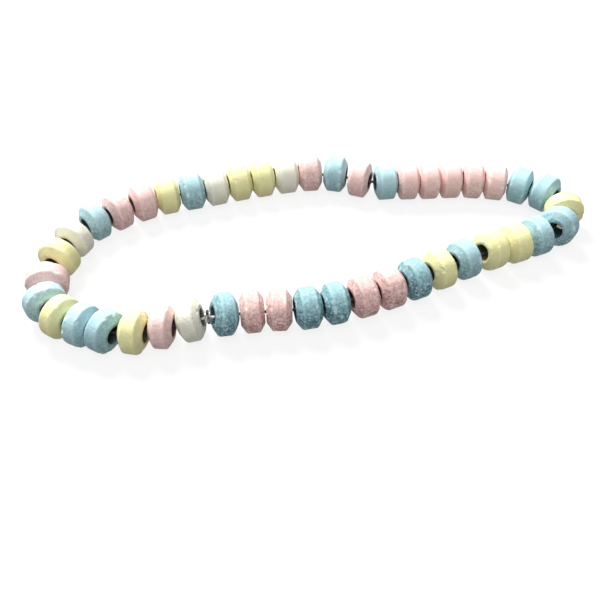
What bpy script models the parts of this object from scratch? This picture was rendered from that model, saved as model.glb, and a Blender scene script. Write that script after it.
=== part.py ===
"""A candy necklace: discs of pressed sugar threaded on a knotted elastic string, lying in a long loop.

Metres, +Z up. The origin is under the middle of the loop, on the surface that the candies lie on.
"""

import bisect
import math
import random

import bmesh
import bpy
from mathutils import Matrix, Vector
from mathutils.geometry import interpolate_bezier

# One candy: a disc with a cylindrical band, a conical bevel on both sides and a hole through it
CANDY_DIAMETER = 0.0095
CANDY_THICKNESS = 0.00547
BEVEL_DEPTH = 0.0019
BEVEL_LENGTH = 0.0013
HOLE_DIAMETER = 0.0038
CANDY_SIDES = 22

# How uneven the candies are, either way
DIAMETER_SPREAD = 0.015
THICKNESS_SPREAD = 0.035
TURN_SPREAD = math.radians(1.5)
SEED = 4

# Stretches of unlike candies: the first one, the last one, their share of the thickness and their bevel's length
UNLIKE_STRETCHES = (
    (3, 11, 1.05, 0.0012),
    (12, 19, 0.97, 0.0009),
    (21, 30, 1.05, 0.0013),
    (34, 42, 0.9, 0.0012),
)

# Gaps along the string
LEAST_GAP = 0.0003
KNOT_GAP = 0.0009
WIDER_GAPS = {
    1: 0.0009,
    2: 0.0007,
    4: 0.0005,
    6: 0.0005,
    7: 0.0005,
    8: 0.0005,
    11: 0.0009,
    24: 0.0006,
    25: 0.0014,
    26: 0.0014,
    27: 0.0012,
    28: 0.0008,
    29: 0.0006,
    30: 0.0006,
    31: 0.0004,
    33: 0.0004,
    42: 0.0004,
    43: 0.0015,
    44: 0.0015,
    45: 0.0013,
}
SETTLING_PASSES = 12

# The candies in order, clockwise from above, from the left end of the loop
COLOUR_ORDER = "BPPYBWYYWPBPBPPPPPBBYBBYYBYBPPBBPPBWPYBBYBPYW"
COLOURS = {
    "B": ("blue", (0.36, 0.66, 0.74, 1.0)),
    "P": ("pink", (0.83, 0.52, 0.53, 1.0)),
    "W": ("white", (0.85, 0.83, 0.78, 1.0)),
    "Y": ("yellow", (0.86, 0.82, 0.47, 1.0)),
}
CANDY_ROUGHNESS = 0.75

# Candies that lie turned out of the string's line, anticlockwise from above
TURNED = {
    2: math.radians(8),
    13: math.radians(9),
    19: math.radians(-9),
    22: math.radians(10),
    25: math.radians(9),
    35: math.radians(8),
    36: math.radians(-13),
    37: math.radians(-22),
    38: math.radians(-20),
    39: math.radians(-13),
    40: math.radians(-6),
    41: math.radians(-4),
    42: math.radians(14),
    43: math.radians(8),
    44: math.radians(-9),
    45: math.radians(-6),
}

# Candies that lean: the face towards the next candy looks up, or down where the angle is negative
LEANING = {
    22: math.radians(9),
    25: math.radians(9),
    35: math.radians(12),
    36: math.radians(-12),
}

# The string's way through the candies, seen from above, in the same order
ROUTE = (
    (-0.0583, 0.0081),
    (-0.0456, 0.0171),
    (-0.0325, 0.0215),
    (-0.0203, 0.0254),
    (-0.0076, 0.0284),
    (0.0018, 0.0285),
    (0.0113, 0.0252),
    (0.0230, 0.0250),
    (0.0351, 0.0256),
    (0.0467, 0.0242),
    (0.0555, 0.0203),
    (0.0591, 0.0132),
    (0.0557, 0.0060),
    (0.0466, 0.0010),
    (0.0325, -0.0051),
    (0.0190, -0.0124),
    (0.0071, -0.0180),
    (-0.0051, -0.0217),
    (-0.0167, -0.0228),
    (-0.0289, -0.0251),
    (-0.0401, -0.0285),
    (-0.0462, -0.0292),
    (-0.0522, -0.0275),
    (-0.0579, -0.0252),
    (-0.0626, -0.0218),
    (-0.0644, -0.0152),
    (-0.0642, -0.0077),
    (-0.0624, 0.0004),
)
CURVE_STEPS = 40

# The elastic string lies low in the holes, no further off their axis than it has room. Its knot and two cut ends
# are between two candies
STRING_DIAMETER = 0.0008
STRING_OFFSET = (0, 0.0003, -0.0006)
STRING_REACH = 0.00128
KNOT_AFTER = 35
KNOT_SIZE = 0.00033
KNOT_POINTS = 30
TAIL_LENGTH = 0.0042
TAIL_RISES = (math.radians(62), math.radians(28))
STRING_COLOUR = (0.87, 0.86, 0.82, 1.0)
STRING_ROUGHNESS = 0.6


def clear_scene():
    for leftover in list(bpy.data.objects):
        bpy.data.objects.remove(leftover)


def make_material(name, colour, roughness):
    material = bpy.data.materials.new(name)
    material.use_nodes = True
    shader = material.node_tree.nodes["Principled BSDF"]
    shader.inputs["Base Color"].default_value = colour
    shader.inputs["Roughness"].default_value = roughness
    shader.inputs["Metallic"].default_value = 0.0
    return material


class Route:
    """A smooth closed curve through plan points, read by the distance along it."""

    def __init__(self, plan):
        corners = [Vector((x, y, 0)) for x, y in plan]
        self.points = []
        for i, start in enumerate(corners):
            before = corners[i - 1]
            end = corners[(i + 1) % len(corners)]
            after = corners[(i + 2) % len(corners)]
            handle_out = start + (end - before) / 6
            handle_in = end - (after - start) / 6
            stretch = interpolate_bezier(start, handle_out, handle_in, end, CURVE_STEPS + 1)
            self.points.extend(stretch[:-1])
        self.distances = [0.0]
        for i, point in enumerate(self.points):
            following = self.points[(i + 1) % len(self.points)]
            self.distances.append(self.distances[-1] + (following - point).length)
        self.length = self.distances[-1]

    def at(self, distance):
        distance %= self.length
        i = bisect.bisect_right(self.distances, distance) - 1
        following = self.points[(i + 1) % len(self.points)]
        share = (distance - self.distances[i]) / (self.distances[i + 1] - self.distances[i])
        return self.points[i].lerp(following, share)

    def heading(self, distance, span=0.001):
        """The angle of the curve's direction, from +X towards +Y."""
        ahead = self.at(distance + span) - self.at(distance - span)
        return math.atan2(ahead.y, ahead.x)


class Candy:
    """The size of one candy, and its place once it is threaded."""

    def __init__(self, number, letter, draw):
        self.number = number
        self.colour = COLOURS[letter][0]
        self.radius = CANDY_DIAMETER / 2 * (1 + draw.uniform(-DIAMETER_SPREAD, DIAMETER_SPREAD))
        self.half = CANDY_THICKNESS / 2 * (1 + draw.uniform(-THICKNESS_SPREAD, THICKNESS_SPREAD))
        self.bevel = BEVEL_LENGTH
        for first, last, share, bevel in UNLIKE_STRETCHES:
            if first <= number <= last:
                self.half *= share
                self.bevel = bevel
        self.turn = TURNED.get(number, draw.uniform(-TURN_SPREAD, TURN_SPREAD))
        self.lean = LEANING.get(number, 0.0)
        self.gap_share = draw.uniform(0.2, 1.0)
        self.centre = Vector()
        self.angle = 0.0

    def put(self, route, distance):
        """Threads the candy on the route, with its rim on the surface."""
        flat = self.radius * math.cos(math.pi / CANDY_SIDES)
        band = self.half - self.bevel
        height = flat * math.cos(self.lean) + band * abs(math.sin(self.lean))
        self.centre = route.at(distance) + Vector((0, 0, height))
        self.angle = route.heading(distance) + self.turn

    def axis(self):
        """The direction of the hole, towards the next candy."""
        level = math.cos(self.lean)
        return Vector((math.cos(self.angle) * level, math.sin(self.angle) * level, math.sin(self.lean)))

    def reach(self, direction):
        """How far the disc reaches from its centre along a direction."""
        along = min(1.0, abs(self.axis().dot(direction)))
        across = math.sqrt(1 - along**2)
        face_edge = self.half * along + (self.radius - BEVEL_DEPTH) * across
        band_edge = (self.half - self.bevel) * along + self.radius * across
        return max(face_edge, band_edge)

    def mouth(self, neighbour, offset):
        """Where the string passes the end of the hole on its straight way to a neighbour."""
        axis = self.axis()
        way = neighbour.centre - self.centre
        end = axis * math.copysign(self.half, way.dot(axis))
        sideways = way * self.half / abs(way.dot(axis)) - end
        sideways += offset - axis * offset.dot(axis)
        if sideways.length > STRING_REACH:
            sideways *= STRING_REACH / sideways.length
        return self.centre + end + sideways


def needed_distance(candy, following, gap):
    """How far apart the centres of two candies have to be for the gap, along the direction that parts them best."""
    between = (following.centre - candy.centre).normalized()
    middle = (candy.axis() + following.axis()).normalized()
    return min(
        (candy.reach(direction) + following.reach(direction) + gap) / between.dot(direction)
        for direction in (between, candy.axis(), following.axis(), middle)
    )


def thread_candies(candies, route):
    """Spaces the candies so that neighbours nearly touch, and shares out what the string has to spare."""
    steps = [route.length / len(candies)] * len(candies)
    gaps = {**WIDER_GAPS, KNOT_AFTER: KNOT_GAP}
    for _ in range(SETTLING_PASSES):
        distance = 0.0
        for candy, step in zip(candies, steps):
            candy.put(route, distance)
            distance += step
        needs = []
        for candy, following, step in zip(candies, candies[1:] + candies[:1], steps):
            apart = (following.centre - candy.centre).length
            gap = gaps.get(candy.number, LEAST_GAP)
            needs.append(needed_distance(candy, following, gap) * step / apart)
        spare = route.length - sum(needs)
        shares = sum(candy.gap_share for candy in candies)
        steps = [need + spare * candy.gap_share / shares for need, candy in zip(needs, candies)]


def candy_mesh(candy, name):
    """Turns the disc's section round the X axis, with a flat and not a corner at the bottom."""
    face = candy.radius - BEVEL_DEPTH
    band = candy.half - candy.bevel
    hole = HOLE_DIAMETER / 2
    section = (
        (-candy.half, hole),
        (-candy.half, face),
        (-band, candy.radius),
        (band, candy.radius),
        (candy.half, face),
        (candy.half, hole),
    )
    half_side = Matrix.Rotation(math.pi / CANDY_SIDES, 3, "X")
    disc = bmesh.new()
    corners = [disc.verts.new(half_side @ Vector((x, 0, r))) for x, r in section]
    edges = [disc.edges.new((a, b)) for a, b in zip(corners, corners[1:] + corners[:1])]
    bmesh.ops.spin(
        disc,
        geom=corners + edges,
        axis=(1, 0, 0),
        cent=(0, 0, 0),
        angle=2 * math.pi,
        steps=CANDY_SIDES,
        use_merge=True,
    )
    bmesh.ops.remove_doubles(disc, verts=disc.verts, dist=1e-6)
    bmesh.ops.recalc_face_normals(disc, faces=disc.faces)
    mesh = bpy.data.meshes.new(name)
    disc.to_mesh(mesh)
    disc.free()
    mesh.shade_smooth()
    mesh.set_sharp_from_angle(angle=math.radians(25))
    return mesh


def add_candy(candy, parent, materials):
    name = f"candy_{candy.number:02d}_{candy.colour}"
    mesh = candy_mesh(candy, name)
    mesh.materials.append(materials[candy.colour])
    disc = bpy.data.objects.new(name, mesh)
    disc.location = candy.centre
    disc.rotation_euler = (0, -candy.lean, candy.angle)
    disc.parent = parent
    bpy.context.scene.collection.objects.link(disc)
    return disc


def tube(name, points, closed):
    """A round tube of the string's thickness along the points."""
    path = bpy.data.curves.new(name, "CURVE")
    path.dimensions = "3D"
    path.bevel_depth = STRING_DIAMETER / 2
    path.bevel_resolution = 1
    path.use_fill_caps = not closed
    spline = path.splines.new("POLY")
    spline.points.add(len(points) - 1)
    for corner, point in zip(spline.points, points):
        corner.co = (*point, 1)
    spline.use_cyclic_u = closed
    drawn = bpy.data.objects.new(name, path)
    bpy.context.scene.collection.objects.link(drawn)
    graph = bpy.context.evaluated_depsgraph_get()
    mesh = bpy.data.meshes.new_from_object(drawn.evaluated_get(graph))
    bpy.data.objects.remove(drawn)
    solid = bmesh.new()
    solid.from_mesh(mesh)
    bmesh.ops.remove_doubles(solid, verts=solid.verts, dist=1e-6)
    bmesh.ops.recalc_face_normals(solid, faces=solid.faces)
    solid.to_mesh(mesh)
    solid.free()
    made = bpy.data.objects.new(name, mesh)
    bpy.context.scene.collection.objects.link(made)
    return made


def knot_points(centre, angle):
    """An overhand knot's loops, closed on themselves, with the string through their middle."""
    across = Matrix.Rotation(angle, 3, "Z") @ Matrix.Rotation(math.pi / 2, 3, "Y")
    points = []
    for i in range(KNOT_POINTS):
        t = 2 * math.pi * i / KNOT_POINTS
        loop = Vector((
            math.sin(t) + 2 * math.sin(2 * t),
            math.cos(t) - 2 * math.cos(2 * t),
            -1.2 * math.sin(3 * t),
        ))
        points.append(centre + across @ (loop * KNOT_SIZE))
    return points


def add_string(candies, parent, material):
    last, first = candies[KNOT_AFTER - 1], candies[KNOT_AFTER]
    leaving = last.mouth(first, Vector())
    entering = first.mouth(last, Vector())
    centre = (leaving + entering) / 2
    offset = Vector(STRING_OFFSET)
    way = []
    for before, candy, after in zip(candies[-1:] + candies[:-1], candies, candies[1:] + candies[:1]):
        way.append(candy.mouth(before, offset))
        way.append(candy.mouth(after, offset))
        if candy.number == KNOT_AFTER:
            way.append(centre)
    string = tube("elastic_string", way, True)

    ahead = entering - leaving
    angle = math.atan2(ahead.y, ahead.x)
    pieces = [tube("knot", knot_points(centre, angle), True)]
    near_side = Matrix.Rotation(angle + math.pi / 2, 3, "Z")
    for rise in TAIL_RISES:
        outward = near_side @ Vector((math.cos(rise), 0, math.sin(rise)))
        ends = [centre + outward * TAIL_LENGTH * share for share in (0.0, 0.5, 1.0)]
        pieces.append(tube("tail", ends, False))
    fused = bpy.data.collections.new("knot_and_tails")
    for piece in pieces:
        bpy.context.scene.collection.objects.unlink(piece)
        fused.objects.link(piece)
    union = string.modifiers.new("knot", "BOOLEAN")
    union.operation = "UNION"
    union.operand_type = "COLLECTION"
    union.collection = fused
    union.solver = "EXACT"
    union.use_self = True
    graph = bpy.context.evaluated_depsgraph_get()
    mesh = bpy.data.meshes.new_from_object(string.evaluated_get(graph))
    string.modifiers.clear()
    string.data = mesh
    for piece in pieces:
        bpy.data.objects.remove(piece)
    mesh.materials.clear()
    mesh.materials.append(material)
    mesh.shade_smooth()
    string.parent = parent
    return string


def centre_over_origin(parent, solids):
    """Moves the whole necklace so that its outline is centred over the origin."""
    bpy.context.view_layer.update()
    corners = [solid.matrix_world @ vertex.co for solid in solids for vertex in solid.data.vertices]
    for axis in (0, 1):
        values = [corner[axis] for corner in corners]
        parent.location[axis] = -(min(values) + max(values)) / 2


def build():
    clear_scene()
    draw = random.Random(SEED)
    candies = [Candy(i + 1, letter, draw) for i, letter in enumerate(COLOUR_ORDER)]
    route = Route(ROUTE)
    thread_candies(candies, route)
    materials = {
        name: make_material(f"candy_{name}", colour, CANDY_ROUGHNESS)
        for name, colour in COLOURS.values()
    }
    necklace = bpy.data.objects.new("necklace", None)
    bpy.context.scene.collection.objects.link(necklace)
    solids = [add_candy(candy, necklace, materials) for candy in candies]
    elastic = make_material("elastic", STRING_COLOUR, STRING_ROUGHNESS)
    solids.append(add_string(candies, necklace, elastic))
    centre_over_origin(necklace, solids)


build()
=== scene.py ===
"""The looks of a candy necklace: worn discs of pressed sugar on a knotted elastic thread."""

import collections
import math
import random

import bmesh
import bpy
import numpy as np
from mathutils import Matrix, Vector
from mathutils.geometry import interpolate_bezier


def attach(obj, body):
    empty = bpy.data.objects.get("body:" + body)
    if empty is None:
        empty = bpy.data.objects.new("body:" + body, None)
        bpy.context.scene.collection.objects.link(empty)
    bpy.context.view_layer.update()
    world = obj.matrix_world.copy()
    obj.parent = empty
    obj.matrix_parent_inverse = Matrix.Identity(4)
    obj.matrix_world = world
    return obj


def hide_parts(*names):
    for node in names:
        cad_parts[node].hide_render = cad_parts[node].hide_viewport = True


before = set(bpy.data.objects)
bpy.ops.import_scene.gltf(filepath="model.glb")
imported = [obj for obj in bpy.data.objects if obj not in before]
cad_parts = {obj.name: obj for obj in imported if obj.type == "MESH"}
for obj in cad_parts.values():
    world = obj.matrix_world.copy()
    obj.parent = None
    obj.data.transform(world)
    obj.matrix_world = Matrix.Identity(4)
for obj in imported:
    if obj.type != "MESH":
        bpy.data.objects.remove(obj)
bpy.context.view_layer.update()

ROOT = "root"

# The photograph's camera: it looks down at 45 degrees along +Y
CAMERA_PLACE = (-0.0047, -0.1282, 0.1136)
CAMERA_PITCH = math.radians(45)
CAMERA_LENS = 42.0
CAMERA_SENSOR = 36.0
CAMERA_NEAREST = 0.005

# The studio: a pale floor under two round soft lights
FLOOR_SIDE = 4.0
FLOOR_COLOUR = (0.10, 0.10, 0.10, 1.0)
FLOOR_ROUGHNESS = 0.9
FLOOR_GLOW = 0.84
WORLD_COLOUR = (1.0, 1.0, 1.0, 1.0)
WORLD_STRENGTH = 0.34
LIGHTS = {
    "key": {"place": (-0.27, 0.50, 0.60), "width": 0.36, "power": 12.5, "colour": (1.0, 0.99, 0.97)},
    "front": {"place": (-0.05, -0.25, 0.70), "width": 0.60, "power": 3.3, "colour": (0.98, 0.99, 1.0)},
}
LIGHT_TARGET = (0.0, 0.0, 0.0)

# The grid that is wrapped into a candy: points round its axis and points round its section
POINTS_ROUND = 120
POINTS_SECTION = 68
ROUNDING_STEPS = 5
WELD = 0.000001

# A candy's sizes are read off its solid. Its edges have the points beyond this share of the greatest size,
# and its band has the faces that lean less than this
ON_EDGE = 0.98
BAND_LEAN = 0.01

# What a candy's section is given beyond its solid's, before its edges are rounded and its surface wears
SNUG = 0.00011
BAND_SPARE = 0.00012

# The rounding of its edges, and how deep and how fine its wear is
BAND_EDGE_ROUNDING = 0.00065
FACE_EDGE_ROUNDING = 0.00035
HOLE_EDGE_ROUNDING = 0.00025
UNEVENNESS = 0.00007
SWELL_SCALE = 230.0
LUMPS = 0.00003
LUMP_SCALE = 1100.0
CHIP_DEPTH = (0.00008, 0.00024)
CHIP_SCALE = 520.0
WEAR_SEED = 11

# The values of the noise between which a chip forms, and the distances from an edge over which wear fades.
# The face's edge wears over a narrower width than the band's, by these factors
CHIP_FORMS = (0.56, 0.68)
CHIP_FADES = (0.00035, 0.00091)
EDGE_FADES = (0.000105, 0.00056)
BORE_FADES = (0.00003, 0.00022)
FACE_CHIP_FACTOR = 1.5
FACE_EDGE_FACTOR = 1.3

# How the candies differ along the loop: the near stretch is the most speckled, partly real speckle and partly
# painted shade that darkens it, and the left end the dustiest
STRETCHES = (
    {"candies": range(1, 11), "rounding": (0.7, 1.1), "speckle_and_shade": 0.75, "dust": 0.15},
    {"candies": range(11, 21), "rounding": (0.6, 1.0), "speckle_and_shade": 0.4, "dust": 0.18},
    {"candies": range(21, 28), "rounding": (0.7, 1.1), "speckle_and_shade": 0.85, "dust": 0.10},
    {"candies": range(28, 37), "rounding": (0.8, 1.25), "speckle_and_shade": 1.25, "dust": 0.0},
    {"candies": range(37, 46), "rounding": (0.55, 0.9), "speckle_and_shade": 0.75, "dust": 0.22},
)

# How much a single candy differs from its stretch
SPECKLE_SPREAD = (0.8, 1.1)
DUST_SPREAD = (0.6, 1.2)
UNEVENNESS_SPREAD = (0.6, 1.3)

# The elastic thread: three strands laid round each other. It lies low in each hole, at most its reach
# from the middle
THREAD_RADIUS = 0.00034
THREAD_OFFSET = (0.0, 0.0003, -0.0006)
THREAD_REACH = 0.00128
THREAD_SIDES = 15
THREAD_STEP = 0.0002
STRANDS = 3
LAY_LENGTH = 0.0024
STRAND_DEPTH = 0.00004
ROUTE_STEPS = 12

# Its looks: how much of the fibre's and of the shade's colour it takes on, and the light that it lets in
THREAD_COLOUR = (0.90, 0.89, 0.86, 1.0)
# The colour of the painted shade in the grooves between the strands
GROOVE_SHADE_COLOUR = (0.60, 0.58, 0.53, 1.0)
FIBRE_COLOUR = (0.95, 0.95, 0.94, 1.0)
FIBRE_SCALE = 5200.0
FIBRE_SHARE = 0.3
SHADE_COLOUR = (0.035, 0.038, 0.035, 1.0)
SHADE_SHARE = 0.93
THREAD_ROUGHNESS = 0.38
THREAD_GLOW = 0.3
THREAD_GLOW_COLOUR = (1.0, 0.95, 0.9)
THREAD_GLOW_DEPTH = 0.0004

# Its overhand knot after this candy, how far round the knot the thread keeps its own colour before painted
# shade darkens it, and its two cut ends
KNOT_AFTER = 35
KNOT_SIZE = 0.00034
KNOT_RISE = 1.2
KNOT_POINTS = 60
KNOT_SHOWS = 0.0012
KNOT_FADES = 0.0012
TAIL_LENGTH = 0.0042
TAIL_RISES = (math.radians(62), math.radians(28))
TAIL_BOW = 0.0004
TAIL_POINTS = 12


class Tree:
    """Adds nodes to one node tree."""

    def __init__(self, tree):
        self.tree = tree

    def node(self, kind, settings=None, sockets=None, out=0):
        """Makes a node, applies its settings, sets or links its sockets, and returns one of its outputs."""
        made = self.tree.nodes.new(kind)
        for name, value in (settings or {}).items():
            if name == "items":
                for _ in range(value - 2):
                    made.index_switch_items.new()
            else:
                setattr(made, name, value)
        for name, value in (sockets or {}).items():
            socket = self.find(made.inputs, name)
            if isinstance(value, Value):
                self.tree.links.new(value.socket, socket)
            else:
                socket.default_value = value
        return Value(self, self.find(made.outputs, out))

    @staticmethod
    def find(sockets, name):
        if isinstance(name, int):
            return sockets[name]
        return next(s for s in sockets if s.enabled and name in (s.identifier, s.name))

    def mix(self, factor, first, second):
        """A colour between the first and the second."""
        sockets = {"Factor_Float": factor, "A_Color": first, "B_Color": second}
        return self.node("ShaderNodeMix", {"data_type": "RGBA"}, sockets, "Result_Color")

    def stored(self, name):
        """What a piece's mesh keeps under this name, for its material."""
        return self.node("ShaderNodeAttribute", {"attribute_name": name}, out="Fac")

    def part_of(self, vector, axis):
        """A vector's share along X, Y or Z."""
        return self.node("ShaderNodeSeparateXYZ", sockets={"Vector": vector}, out=axis)

    def scaled(self, vector, share):
        sockets = {"Vector": vector, "Scale": share}
        return self.node("ShaderNodeVectorMath", {"operation": "SCALE"}, sockets, "Vector")


class Value:
    """An output socket. Arithmetic on it adds Math nodes."""

    def __init__(self, tree, socket):
        self.tree = tree
        self.socket = socket

    def math(self, operation, *numbers):
        return self.tree.node("ShaderNodeMath", {"operation": operation}, dict(enumerate(numbers)))

    def __add__(self, other):
        return self.math("ADD", self, other)

    def __radd__(self, other):
        return self.math("ADD", other, self)

    def __sub__(self, other):
        return self.math("SUBTRACT", self, other)

    def __rsub__(self, other):
        return self.math("SUBTRACT", other, self)

    def __mul__(self, other):
        return self.math("MULTIPLY", self, other)

    def __rmul__(self, other):
        return self.math("MULTIPLY", other, self)

    def __truediv__(self, other):
        return self.math("DIVIDE", self, other)

    def __neg__(self):
        return self.math("MULTIPLY", self, -1.0)

    def __abs__(self):
        return self.math("ABSOLUTE", self)

    def __pow__(self, other):
        return self.math("POWER", self, other)

    def __gt__(self, other):
        return self.math("GREATER_THAN", self, other)

    def least(self, other):
        return self.math("MINIMUM", self, other)

    def step(self, low, high):
        """0 below low and 1 above high, and smooth between them."""
        sockets = {"Value": self, "From Min": low, "From Max": high}
        settings = {"interpolation_type": "SMOOTHSTEP"}
        return self.tree.node("ShaderNodeMapRange", settings, sockets, "Result")


def set_camera():
    data = bpy.data.cameras.new("camera")
    data.lens = CAMERA_LENS
    data.sensor_width = CAMERA_SENSOR
    data.clip_start = CAMERA_NEAREST
    camera = bpy.data.objects.new("camera", data)
    camera.location = CAMERA_PLACE
    camera.rotation_euler = (CAMERA_PITCH, 0.0, 0.0)
    bpy.context.scene.collection.objects.link(camera)
    bpy.context.scene.camera = camera


def set_studio():
    """Soft light from above and behind, a little from the left, and a weaker one from the front."""
    bpy.context.scene.view_settings.view_transform = "Standard"
    world = bpy.data.worlds.new("studio")
    world.use_nodes = True
    background = world.node_tree.nodes["Background"]
    background.inputs["Color"].default_value = WORLD_COLOUR
    background.inputs["Strength"].default_value = WORLD_STRENGTH
    bpy.context.scene.world = world
    for name, facts in LIGHTS.items():
        data = bpy.data.lights.new(name, "AREA")
        data.shape = "DISK"
        data.size = facts["width"]
        data.energy = facts["power"]
        data.color = facts["colour"]
        light = bpy.data.objects.new(name, data)
        light.location = facts["place"]
        aim = Vector(LIGHT_TARGET) - light.location
        light.rotation_euler = aim.to_track_quat("-Z", "Y").to_euler()
        bpy.context.scene.collection.objects.link(light)


def add_floor():
    """A floor whose own brightness doesn't light the candies."""
    plane = bmesh.new()
    bmesh.ops.create_grid(plane, x_segments=1, y_segments=1, size=FLOOR_SIDE / 2)
    mesh = bpy.data.meshes.new("floor")
    plane.to_mesh(mesh)
    plane.free()
    material, _, shader = new_material("pale_floor")
    shader.inputs["Base Color"].default_value = FLOOR_COLOUR
    shader.inputs["Roughness"].default_value = FLOOR_ROUGHNESS
    shader.inputs["Emission Color"].default_value = WORLD_COLOUR
    shader.inputs["Emission Strength"].default_value = FLOOR_GLOW
    mesh.materials.append(material)
    floor = bpy.data.objects.new("floor", mesh)
    bpy.context.scene.collection.objects.link(floor)
    floor.visible_diffuse = False
    floor.visible_shadow = False


def new_material(name):
    """A material, its tree and its shader."""
    material = bpy.data.materials.new(name)
    material.use_nodes = True
    return material, Tree(material.node_tree), material.node_tree.nodes["Principled BSDF"]


def feed(material, shader, looks):
    """Links each value to the shader's socket of its name."""
    for name, value in looks.items():
        material.node_tree.links.new(value.socket, shader.inputs[name])


def set_glow(shader, weight, colour, depth):
    """How much light the surface lets in, its colour, and how deep it goes."""
    shader.inputs["Subsurface Weight"].default_value = weight
    shader.inputs["Subsurface Radius"].default_value = colour
    shader.inputs["Subsurface Scale"].default_value = depth


# How each colour of sugar looks: its body, its dark and its light crystals, the painted shade inside its
# hole, how strongly it is speckled, how much dust shows on it, and how much painted light, with some dust,
# pales the top of a candy
SUGARS = {
    "blue": {
        "body": (0.175, 0.385, 0.43, 1.0),
        "deep": (0.04, 0.13, 0.16, 1.0),
        "pale": (0.60, 0.79, 0.83, 1.0),
        "hole_painted_shade": (0.020, 0.045, 0.055, 1.0),
        "speck_strength": 0.95,
        "dustiness": 1.7,
        "top_dust_and_light": 0.28,
        "glow": (0.5, 0.9, 1.0),
    },
    "pink": {
        "body": (0.77, 0.48, 0.46, 1.0),
        "deep": (0.35, 0.19, 0.165, 1.0),
        "pale": (0.92, 0.77, 0.73, 1.0),
        "hole_painted_shade": (0.10, 0.03, 0.03, 1.0),
        "speck_strength": 0.85,
        "dustiness": 1.0,
        "top_dust_and_light": 0.15,
        "glow": (1.0, 0.45, 0.4),
    },
    "white": {
        "body": (0.76, 0.74, 0.62, 1.0),
        "deep": (0.56, 0.53, 0.42, 1.0),
        "pale": (0.94, 0.93, 0.88, 1.0),
        "hole_painted_shade": (0.10, 0.09, 0.07, 1.0),
        "speck_strength": 0.16,
        "dustiness": 0.1,
        "top_dust_and_light": 0.1,
        "glow": (1.0, 0.95, 0.8),
    },
    "yellow": {
        "body": (0.76, 0.73, 0.37, 1.0),
        "deep": (0.56, 0.51, 0.18, 1.0),
        "pale": (0.93, 0.92, 0.66, 1.0),
        "hole_painted_shade": (0.08, 0.075, 0.02, 1.0),
        "speck_strength": 0.2,
        "dustiness": 0.1,
        "top_dust_and_light": 0.1,
        "glow": (1.0, 0.92, 0.45),
    },
}

# How fine its cloudy fields, grains and crystals are, and between which values of its pattern each one shows
FIELD_SCALE = 380.0
GRAIN_SCALE = 1500.0
SPECK_SCALE = 1900.0
FIELD_SHOWS = (0.38, 0.72)
DARK_GRAIN_SHOWS = (0.48, 0.58)
LIGHT_GRAIN_SHOWS = (0.54, 0.65)
CRYSTAL_FADES = (0.2, 0.65)
DARK_CRYSTALS = 0.36
LIGHT_CRYSTALS = 0.09

# How strongly each of them colours the sugar, and how strongly dust colours its worn edges and chips
FIELD_SHARE = 0.4
LIGHT_GRAIN_SHARE = 0.5
DARK_CRYSTAL_SHARE = 0.8
LIGHT_CRYSTAL_SHARE = 0.6
EDGE_DUST = 0.25
CHIP_DUST = 0.4
# The share of painted shade inside the hole
HOLE_SHADE = 0.92

# Its fine relief, its roughness and the light that it lets in
BUMP_STRENGTH = 0.6
BUMP_DEPTH = 0.00010
SUGAR_ROUGHNESS = 0.62
GRAIN_ROUGHNESS = 0.22
SUGAR_GLOW = 0.12
SUGAR_GLOW_DEPTH = 0.0006


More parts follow.
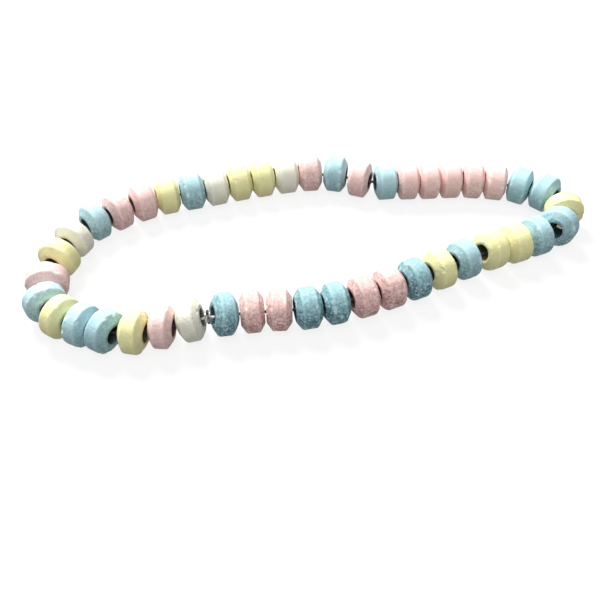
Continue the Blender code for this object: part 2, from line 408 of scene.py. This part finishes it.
def sugar_material(name, facts):
    """Pressed sugar: cloudy fields, dark and light crystals, dusty worn edges and a grainy surface."""
    material, tree, shader = new_material(f"pressed_sugar_{name}")
    place = tree.node("ShaderNodeTexCoord", out="Object")
    noise = "ShaderNodeTexNoise"
    fields = tree.node(noise, sockets={"Vector": place, "Scale": FIELD_SCALE, "Detail": 3.0}, out="Fac")
    grain_facts = {"Vector": place, "Scale": GRAIN_SCALE, "Detail": 4.0, "Roughness": 0.7}
    grain = tree.node(noise, sockets=grain_facts, out="Fac")
    cells = {"Vector": place, "Scale": SPECK_SCALE}
    crystal = tree.node("ShaderNodeTexVoronoi", sockets=cells, out="Color")
    draw = tree.node("ShaderNodeSeparateColor", sockets={"Color": crystal}, out="Red")
    distance = tree.node("ShaderNodeTexVoronoi", sockets=cells, out="Distance")
    centre = 1.0 - distance.step(*CRYSTAL_FADES)
    # Each candy's speckle, raised on the near stretch as painted shade
    speckle_and_shade = tree.stored("speckle_and_shade")
    top = tree.stored("top")

    # Colour: the sides are more speckled than the top, as painted shade on the sides and painted light on the
    # top, and the cloudy fields more than the sugar between them
    strength = speckle_and_shade * facts["speck_strength"] * (1.25 - top * 0.85)
    dark_grain = grain.step(*DARK_GRAIN_SHOWS) * (0.35 + fields * 0.9)
    light_grain = (1.0 - grain).step(*LIGHT_GRAIN_SHOWS)
    dark_crystal = (draw > 1.0 - DARK_CRYSTALS) * centre
    light_crystal = (1.0 - (draw > LIGHT_CRYSTALS)) * centre
    colour = tree.mix(fields.step(*FIELD_SHOWS) * FIELD_SHARE * speckle_and_shade, facts["body"], facts["deep"])
    colour = tree.mix((dark_grain * strength).least(1.0), colour, facts["deep"])
    colour = tree.mix(light_grain * strength * LIGHT_GRAIN_SHARE, colour, facts["pale"])
    colour = tree.mix(dark_crystal * strength * DARK_CRYSTAL_SHARE, colour, facts["deep"])
    colour = tree.mix(light_crystal * strength * LIGHT_CRYSTAL_SHARE, colour, facts["pale"])

    # Dust, which the worn edges and the chips gather, painted light with some dust on the top, and painted
    # shade inside the hole
    dust = (tree.stored("dust") * facts["dustiness"] + top * facts["top_dust_and_light"]) * (0.5 + fields)
    dust = dust + tree.stored("edge") * grain.step(0.4, 0.6) * EDGE_DUST + tree.stored("chip") * CHIP_DUST
    colour = tree.mix(dust.least(1.0), colour, facts["pale"])
    # Painted shade inside the hole
    colour = tree.mix(tree.stored("bore") * HOLE_SHADE, colour, facts["hole_painted_shade"])

    height = centre * 0.4 - grain * 0.8 - dark_crystal * 0.5
    bump = {"Strength": BUMP_STRENGTH, "Distance": BUMP_DEPTH, "Height": height}
    normal = tree.node("ShaderNodeBump", sockets=bump)
    roughness = SUGAR_ROUGHNESS + grain * GRAIN_ROUGHNESS
    feed(material, shader, {"Base Color": colour, "Roughness": roughness, "Normal": normal})
    set_glow(shader, SUGAR_GLOW, facts["glow"], SUGAR_GLOW_DEPTH)
    return material


def candy_tree():
    """Geometry Nodes that turn a rounded section round the X axis, then wear and chip the disc."""
    group = bpy.data.node_groups.new("pressed_candy", "GeometryNodeTree")
    group.interface.new_socket("Geometry", in_out="OUTPUT", socket_type="NodeSocketGeometry")
    for name in (
        "Radius", "Face Radius", "Half Thickness", "Half Band", "Hole Radius",
        "Rounding", "Unevenness", "Lumps", "Chip Depth", "Seed", "Speckle And Shade", "Dust",
    ):
        group.interface.new_socket(name, in_out="INPUT", socket_type="NodeSocketFloat")
    group.interface.new_socket("Sugar", in_out="INPUT", socket_type="NodeSocketMaterial")
    tree = Tree(group)
    given = group.nodes.new("NodeGroupInput")
    size = {socket.name: Value(tree, socket) for socket in given.outputs if socket.name}

    corners = (
        (-size["Half Thickness"], size["Hole Radius"], HOLE_EDGE_ROUNDING),
        (-size["Half Thickness"], size["Face Radius"], FACE_EDGE_ROUNDING),
        (-size["Half Band"], size["Radius"], BAND_EDGE_ROUNDING),
        (size["Half Band"], size["Radius"], BAND_EDGE_ROUNDING),
        (size["Half Thickness"], size["Face Radius"], FACE_EDGE_ROUNDING),
        (size["Half Thickness"], size["Hole Radius"], HOLE_EDGE_ROUNDING),
    )
    index = tree.node("GeometryNodeInputIndex")
    spots = {"Index": index}
    roundings = {"Index": index}
    for i, (along, out, rounding) in enumerate(corners):
        spots[f"Item_{i}"] = tree.node("ShaderNodeCombineXYZ", sockets={"X": along, "Y": out})
        roundings[f"Item_{i}"] = size["Rounding"] * rounding
    switch = "GeometryNodeIndexSwitch"
    spot = tree.node(switch, {"data_type": "VECTOR", "items": len(corners)}, spots, "Output")
    rounding = tree.node(switch, {"data_type": "FLOAT", "items": len(corners)}, roundings, "Output")
    line = tree.node("GeometryNodeMeshLine", sockets={"Count": len(corners)})
    line = tree.node("GeometryNodeSetPosition", sockets={"Geometry": line, "Position": spot})
    section = tree.node("GeometryNodeMeshToCurve", sockets={"Mesh": line})
    section = tree.node("GeometryNodeSetSplineCyclic", sockets={"Geometry": section, "Cyclic": True})
    fillet = {"Curve": section, "Count": ROUNDING_STEPS, "Radius": rounding, "Limit Radius": True}
    section = tree.node("GeometryNodeFilletCurve", {"mode": "POLY"}, fillet)

    sheet = {"Size X": 1.0, "Size Y": 1.0, "Vertices X": POINTS_ROUND + 1, "Vertices Y": POINTS_SECTION + 1}
    sheet = tree.node("GeometryNodeMeshGrid", sockets=sheet, out="Mesh")
    place = tree.node("GeometryNodeInputPosition")
    angle = tree.part_of(place, "X") * (2 * math.pi)
    along = tree.part_of(place, "Y") + 0.5
    whole = {"mode": "FACTOR", "use_all_curves": True}
    sampled = {"Curves": section, "Factor": along}
    sampled = tree.node("GeometryNodeSampleCurve", whole, sampled, "Position")
    radial = tree.part_of(sampled, "Y")
    wrapped = {
        "X": tree.part_of(sampled, "X"),
        "Y": radial * angle.math("COSINE", angle),
        "Z": radial * angle.math("SINE", angle),
    }
    wrapped = tree.node("ShaderNodeCombineXYZ", sockets=wrapped)
    disc = tree.node("GeometryNodeSetPosition", sockets={"Geometry": sheet, "Position": wrapped})
    disc = tree.node("GeometryNodeMergeByDistance", sockets={"Geometry": disc, "Distance": WELD})

    # The distance of each point from the nearer band edge and the nearer face edge
    from_middle = abs(tree.part_of(place, "X"))
    y = tree.part_of(place, "Y")
    z = tree.part_of(place, "Z")
    from_axis = (y * y + z * z) ** 0.5

    def gap_to(along, out):
        return ((from_middle - along) ** 2.0 + (from_axis - out) ** 2.0) ** 0.5

    band_gap = gap_to(size["Half Band"], size["Radius"])
    face_gap = gap_to(size["Half Thickness"], size["Face Radius"])
    edge = 1.0 - band_gap.least(face_gap * FACE_EDGE_FACTOR).step(*EDGE_FADES)

    def noise(scale, detail):
        sockets = {"Vector": place, "W": size["Seed"], "Scale": scale, "Detail": detail}
        return tree.node("ShaderNodeTexNoise", {"noise_dimensions": "4D"}, sockets, "Fac")

    near_edge = 1.0 - band_gap.least(face_gap * FACE_CHIP_FACTOR).step(*CHIP_FADES)
    chip = noise(CHIP_SCALE, 2.0).step(*CHIP_FORMS) * near_edge
    swell = (noise(SWELL_SCALE, 1.0) - 0.5) * 2.0 * size["Unevenness"]
    swell = swell + (noise(LUMP_SCALE, 2.0) - 0.5) * 2.0 * size["Lumps"]
    swell = swell - chip * size["Chip Depth"]
    # The inside of the hole, where the material paints shade
    bore = 1.0 - (from_axis - size["Hole Radius"]).step(*BORE_FADES)
    stored = {"data_type": "FLOAT", "domain": "POINT"}
    kept = {"edge": edge, "chip": chip, "bore": bore, "speckle_and_shade": size["Speckle And Shade"], "dust": size["Dust"]}
    for name, value in kept.items():
        attribute = {"Geometry": disc, "Name": name, "Value": value}
        disc = tree.node("GeometryNodeStoreNamedAttribute", stored, attribute)
    offset = tree.scaled(tree.node("GeometryNodeInputNormal", out="Normal"), swell)
    disc = tree.node("GeometryNodeSetPosition", sockets={"Geometry": disc, "Offset": offset})
    disc = tree.node("GeometryNodeSetShadeSmooth", sockets={"Geometry": disc})
    disc = tree.node("GeometryNodeRealizeInstances", sockets={"Geometry": disc})
    disc = tree.node("GeometryNodeSetMaterial", sockets={"Geometry": disc, "Material": size["Sugar"]})
    out = group.nodes.new("NodeGroupOutput")
    group.links.new(disc.socket, out.inputs[0])
    return group


def grown(name, group, inputs, base=None):
    """The plain mesh that a Geometry Nodes group makes from these inputs."""
    seedling = bpy.data.objects.new(name, base or bpy.data.meshes.new(name))
    bpy.context.scene.collection.objects.link(seedling)
    modifier = seedling.modifiers.new("grow", "NODES")
    modifier.node_group = group
    for item in group.interface.items_tree:
        if item.in_out == "INPUT" and item.name in inputs:
            modifier[item.identifier] = inputs[item.name]
    graph = bpy.context.evaluated_depsgraph_get()
    mesh = bpy.data.meshes.new_from_object(
        seedling.evaluated_get(graph), preserve_all_data_layers=True, depsgraph=graph
    )
    bpy.data.objects.remove(seedling)
    mesh.name = name
    return mesh


def disc_facts(node):
    """A candy's sizes and place, read off its solid. Most of its triangles lie in its two flat faces."""
    points = np.array([vertex.co for vertex in node.data.vertices])
    points = np.unique(points.round(7), axis=0)
    faces = [(np.array(face.normal), np.array(face.center)) for face in node.data.polygons]
    commonest = collections.Counter(tuple(normal.round(3)) for normal, _ in faces).most_common(1)[0][0]
    axis = next(normal for normal, _ in faces if tuple(normal.round(3)) == commonest)
    centre = points.mean(axis=0)
    away = points - centre
    along = np.abs(away @ axis)
    out = np.linalg.norm(away - np.outer(away @ axis, axis), axis=1)
    flats = [abs((middle - centre) @ normal) for normal, middle in faces if abs(normal @ axis) < BAND_LEAN]
    return {
        "Half Thickness": float(along.max()) + SNUG,
        "Half Band": float(along[out > out.max() * ON_EDGE].max()) + BAND_SPARE,
        "Radius": float(max(flats)),
        "Face Radius": float(out[along > along.max() * ON_EDGE].max()),
        "Hole Radius": float(out.min()),
    }, Vector(centre), Vector(axis)


def add_candies():
    """A worn disc in the place of each solid candy. Returns each one's centre, axis and half thickness."""
    group = candy_tree()
    sugars = {name: sugar_material(name, facts) for name, facts in SUGARS.items()}
    draw = random.Random(WEAR_SEED)
    places = []
    for name in sorted(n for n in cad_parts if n.startswith("candy_")):
        colour = name.rsplit("_", 1)[1]
        sizes, centre, axis = disc_facts(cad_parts[name])
        stretch = next(facts for facts in STRETCHES if int(name.split("_")[1]) in facts["candies"])
        inputs = dict(sizes)
        inputs["Rounding"] = draw.uniform(*stretch["rounding"])
        inputs["Speckle And Shade"] = stretch["speckle_and_shade"] * draw.uniform(*SPECKLE_SPREAD)
        inputs["Dust"] = stretch["dust"] * draw.uniform(*DUST_SPREAD)
        inputs["Unevenness"] = UNEVENNESS * draw.uniform(*UNEVENNESS_SPREAD)
        inputs["Lumps"] = LUMPS
        inputs["Chip Depth"] = draw.uniform(*CHIP_DEPTH)
        inputs["Seed"] = draw.uniform(0.0, 100.0)
        inputs["Sugar"] = sugars[colour]
        mesh = grown(f"pressed_{name}", group, inputs)
        place = Matrix.Translation(centre) @ axis.to_track_quat("X", "Z").to_matrix().to_4x4()
        mesh.transform(place @ Matrix.Rotation(draw.uniform(0.0, 2 * math.pi), 4, "X"))
        # How far each point faces up, for the painted light on the top and the painted shade on the sides
        upward = np.array([vertex.normal.z for vertex in mesh.vertices])
        mesh.attributes.new("top", "FLOAT", "POINT").data.foreach_set("value", np.clip(upward, 0.0, 1.0))
        disc = bpy.data.objects.new(f"pressed_{name}", mesh)
        bpy.context.scene.collection.objects.link(disc)
        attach(disc, ROOT)
        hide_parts(name)
        places.append((centre, axis, sizes["Half Thickness"]))
    return places


def thread_tree():
    """Geometry Nodes that lay three strands round every spline of a curve and close the cut ends."""
    group = bpy.data.node_groups.new("twisted_thread", "GeometryNodeTree")
    group.interface.new_socket("Geometry", in_out="OUTPUT", socket_type="NodeSocketGeometry")
    group.interface.new_socket("Geometry", in_out="INPUT", socket_type="NodeSocketGeometry")
    for name in ("Radius", "Step", "Strands", "Lay Length", "Strand Depth"):
        group.interface.new_socket(name, in_out="INPUT", socket_type="NodeSocketFloat")
    group.interface.new_socket("Thread", in_out="INPUT", socket_type="NodeSocketMaterial")
    tree = Tree(group)
    given = group.nodes.new("NodeGroupInput")
    size = {socket.name: Value(tree, socket) for socket in given.outputs if socket.name}
    stored = {"data_type": "FLOAT", "domain": "POINT"}
    named = {"data_type": "FLOAT"}

    path = {"Curve": size["Geometry"], "Length": size["Step"]}
    path = tree.node("GeometryNodeResampleCurve", {"mode": "LENGTH"}, path)
    length = tree.node("GeometryNodeSplineParameter", out="Length")
    path = {"Geometry": path, "Name": "along", "Value": length}
    path = tree.node("GeometryNodeStoreNamedAttribute", stored, path)
    ring = {"Resolution": THREAD_SIDES, "Radius": size["Radius"]}
    ring = tree.node("GeometryNodeCurvePrimitiveCircle", {"mode": "RADIUS"}, ring, "Curve")
    turn = tree.node("GeometryNodeInputIndex") / THREAD_SIDES
    ring = {"Geometry": ring, "Name": "round", "Value": turn}
    ring = tree.node("GeometryNodeStoreNamedAttribute", stored, ring)
    tube = {"Curve": path, "Profile Curve": ring, "Fill Caps": True}
    tube = tree.node("GeometryNodeCurveToMesh", sockets=tube)
    along = tree.node("GeometryNodeInputNamedAttribute", named, {"Name": "along"}, "Attribute")
    turned = tree.node("GeometryNodeInputNamedAttribute", named, {"Name": "round"}, "Attribute")
    phase = (along / size["Lay Length"] + turned) * size["Strands"] * (2 * math.pi)
    groove = abs(phase.math("SINE", phase * 0.5))
    depth = (groove - 1.0) * size["Strand Depth"]
    offset = tree.scaled(tree.node("GeometryNodeInputNormal", out="Normal"), depth)
    groove_kept = {"Geometry": tube, "Name": "groove", "Value": groove}
    tube = tree.node("GeometryNodeStoreNamedAttribute", stored, groove_kept)
    tube = tree.node("GeometryNodeSetPosition", sockets={"Geometry": tube, "Offset": offset})
    tube = tree.node("GeometryNodeSetShadeSmooth", sockets={"Geometry": tube})
    tube = tree.node("GeometryNodeRealizeInstances", sockets={"Geometry": tube})
    tube = tree.node("GeometryNodeSetMaterial", sockets={"Geometry": tube, "Material": size["Thread"]})
    out = group.nodes.new("NodeGroupOutput")
    group.links.new(tube.socket, out.inputs[0])
    return group


def thread_material():
    """Milky elastic: pale and satiny, with painted shade in the grooves between its strands and away from its
    knot.
    """
    material, tree, shader = new_material("elastic_thread")
    place = tree.node("ShaderNodeTexCoord", out="Object")
    fibre_facts = {"Vector": place, "Scale": FIBRE_SCALE, "Detail": 2.0}
    fibre = tree.node("ShaderNodeTexNoise", sockets=fibre_facts, out="Fac")
    # Painted shade: the thread darkens away from its knot
    painted_shade = tree.stored("painted_shade")
    # Painted shade in the grooves between the strands
    colour = tree.mix(tree.stored("groove").step(0.1, 0.7), GROOVE_SHADE_COLOUR, THREAD_COLOUR)
    colour = tree.mix(fibre.step(0.4, 0.7) * FIBRE_SHARE, colour, FIBRE_COLOUR)
    colour = tree.mix(painted_shade * SHADE_SHARE, colour, SHADE_COLOUR)
    roughness = THREAD_ROUGHNESS + fibre * 0.2 + painted_shade * 0.4
    feed(material, shader, {"Base Color": colour, "Roughness": roughness})
    set_glow(shader, THREAD_GLOW, THREAD_GLOW_COLOUR, THREAD_GLOW_DEPTH)
    return material


def mouth(place, neighbour, offset):
    """Where the thread passes the end of a candy's hole on its straight way to a neighbour."""
    centre, axis, half = place
    way = neighbour[0] - centre
    end = axis * math.copysign(half, way.dot(axis))
    sideways = way * half / abs(way.dot(axis)) - end + offset - axis * offset.dot(axis)
    if sideways.length > THREAD_REACH:
        sideways *= THREAD_REACH / sideways.length
    return centre + end + sideways


def smooth_loop(corners):
    """Points of a smooth closed curve through the corners."""
    points = []
    for i, start in enumerate(corners):
        before = corners[i - 1]
        end = corners[(i + 1) % len(corners)]
        after = corners[(i + 2) % len(corners)]
        reach = (end - start).length / 3
        handle_out = start + (end - before).normalized() * reach
        handle_in = end - (after - start).normalized() * reach
        points.extend(interpolate_bezier(start, handle_out, handle_in, end, ROUTE_STEPS + 1)[:-1])
    return points


def knot_lines(leaving, entering):
    """The knot's closed loops and the two cut ends, which leave it towards the near side of the loop."""
    centre = (leaving + entering) / 2
    heading = entering - leaving
    angle = math.atan2(heading.y, heading.x)
    turned = Matrix.Rotation(angle, 3, "Z") @ Matrix.Rotation(math.pi / 2, 3, "Y")
    loops = []
    for i in range(KNOT_POINTS):
        t = 2 * math.pi * i / KNOT_POINTS
        loop = Vector((
            math.sin(t) + 2 * math.sin(2 * t),
            math.cos(t) - 2 * math.cos(2 * t),
            -KNOT_RISE * math.sin(3 * t),
        ))
        loops.append(centre + turned @ (loop * KNOT_SIZE))
    near_side = Matrix.Rotation(angle + math.pi / 2, 3, "Z")
    tails = []
    for rise in TAIL_RISES:
        outward = near_side @ Vector((math.cos(rise), 0, math.sin(rise)))
        shares = [i / (TAIL_POINTS - 1) for i in range(TAIL_POINTS)]
        droop = Vector((0, 0, TAIL_BOW))
        tails.append([
            centre + outward * TAIL_LENGTH * share + droop * math.sin(math.pi * share) for share in shares
        ])
    return loops, tails


def shade_away_from_knot(mesh, knot):
    """Stores how much painted shade darkens each point of the thread, for its material. It keeps its own
    colour only at its knot.
    """
    away = np.array([(vertex.co - knot).length for vertex in mesh.vertices])
    painted_shade = np.clip((away - KNOT_SHOWS) / KNOT_FADES, 0.0, 1.0)
    mesh.attributes.new("painted_shade", "FLOAT", "POINT").data.foreach_set("value", painted_shade)


def add_thread(places):
    """The elastic through every candy, low in its hole, with its knot."""
    last, first = places[KNOT_AFTER - 1], places[KNOT_AFTER]
    leaving = mouth(last, first, Vector())
    entering = mouth(first, last, Vector())
    offset = Vector(THREAD_OFFSET)
    way = []
    for i, place in enumerate(places):
        way.append(mouth(place, places[i - 1], offset))
        way.append(mouth(place, places[(i + 1) % len(places)], offset))
        if i + 1 == KNOT_AFTER:
            way.append((leaving + entering) / 2)
    loops, tails = knot_lines(leaving, entering)
    drawn = bpy.data.curves.new("thread_path", "CURVE")
    drawn.dimensions = "3D"
    loop_path = smooth_loop(way)
    for points, closed in [(loop_path, True), (loops, True)] + [(tail, False) for tail in tails]:
        spline = drawn.splines.new("POLY")
        spline.points.add(len(points) - 1)
        for corner, point in zip(spline.points, points):
            corner.co = (*point, 1.0)
        spline.use_cyclic_u = closed
    inputs = {
        "Radius": THREAD_RADIUS,
        "Step": THREAD_STEP,
        "Strands": float(STRANDS),
        "Lay Length": LAY_LENGTH,
        "Strand Depth": STRAND_DEPTH,
        "Thread": thread_material(),
    }
    mesh = grown("elastic_thread", thread_tree(), inputs, drawn)
    shade_away_from_knot(mesh, (leaving + entering) / 2)
    thread = bpy.data.objects.new("elastic_thread", mesh)
    bpy.context.scene.collection.objects.link(thread)
    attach(thread, ROOT)
    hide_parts("elastic_string")


set_camera()
set_studio()
add_floor()
places = add_candies()
add_thread(places)
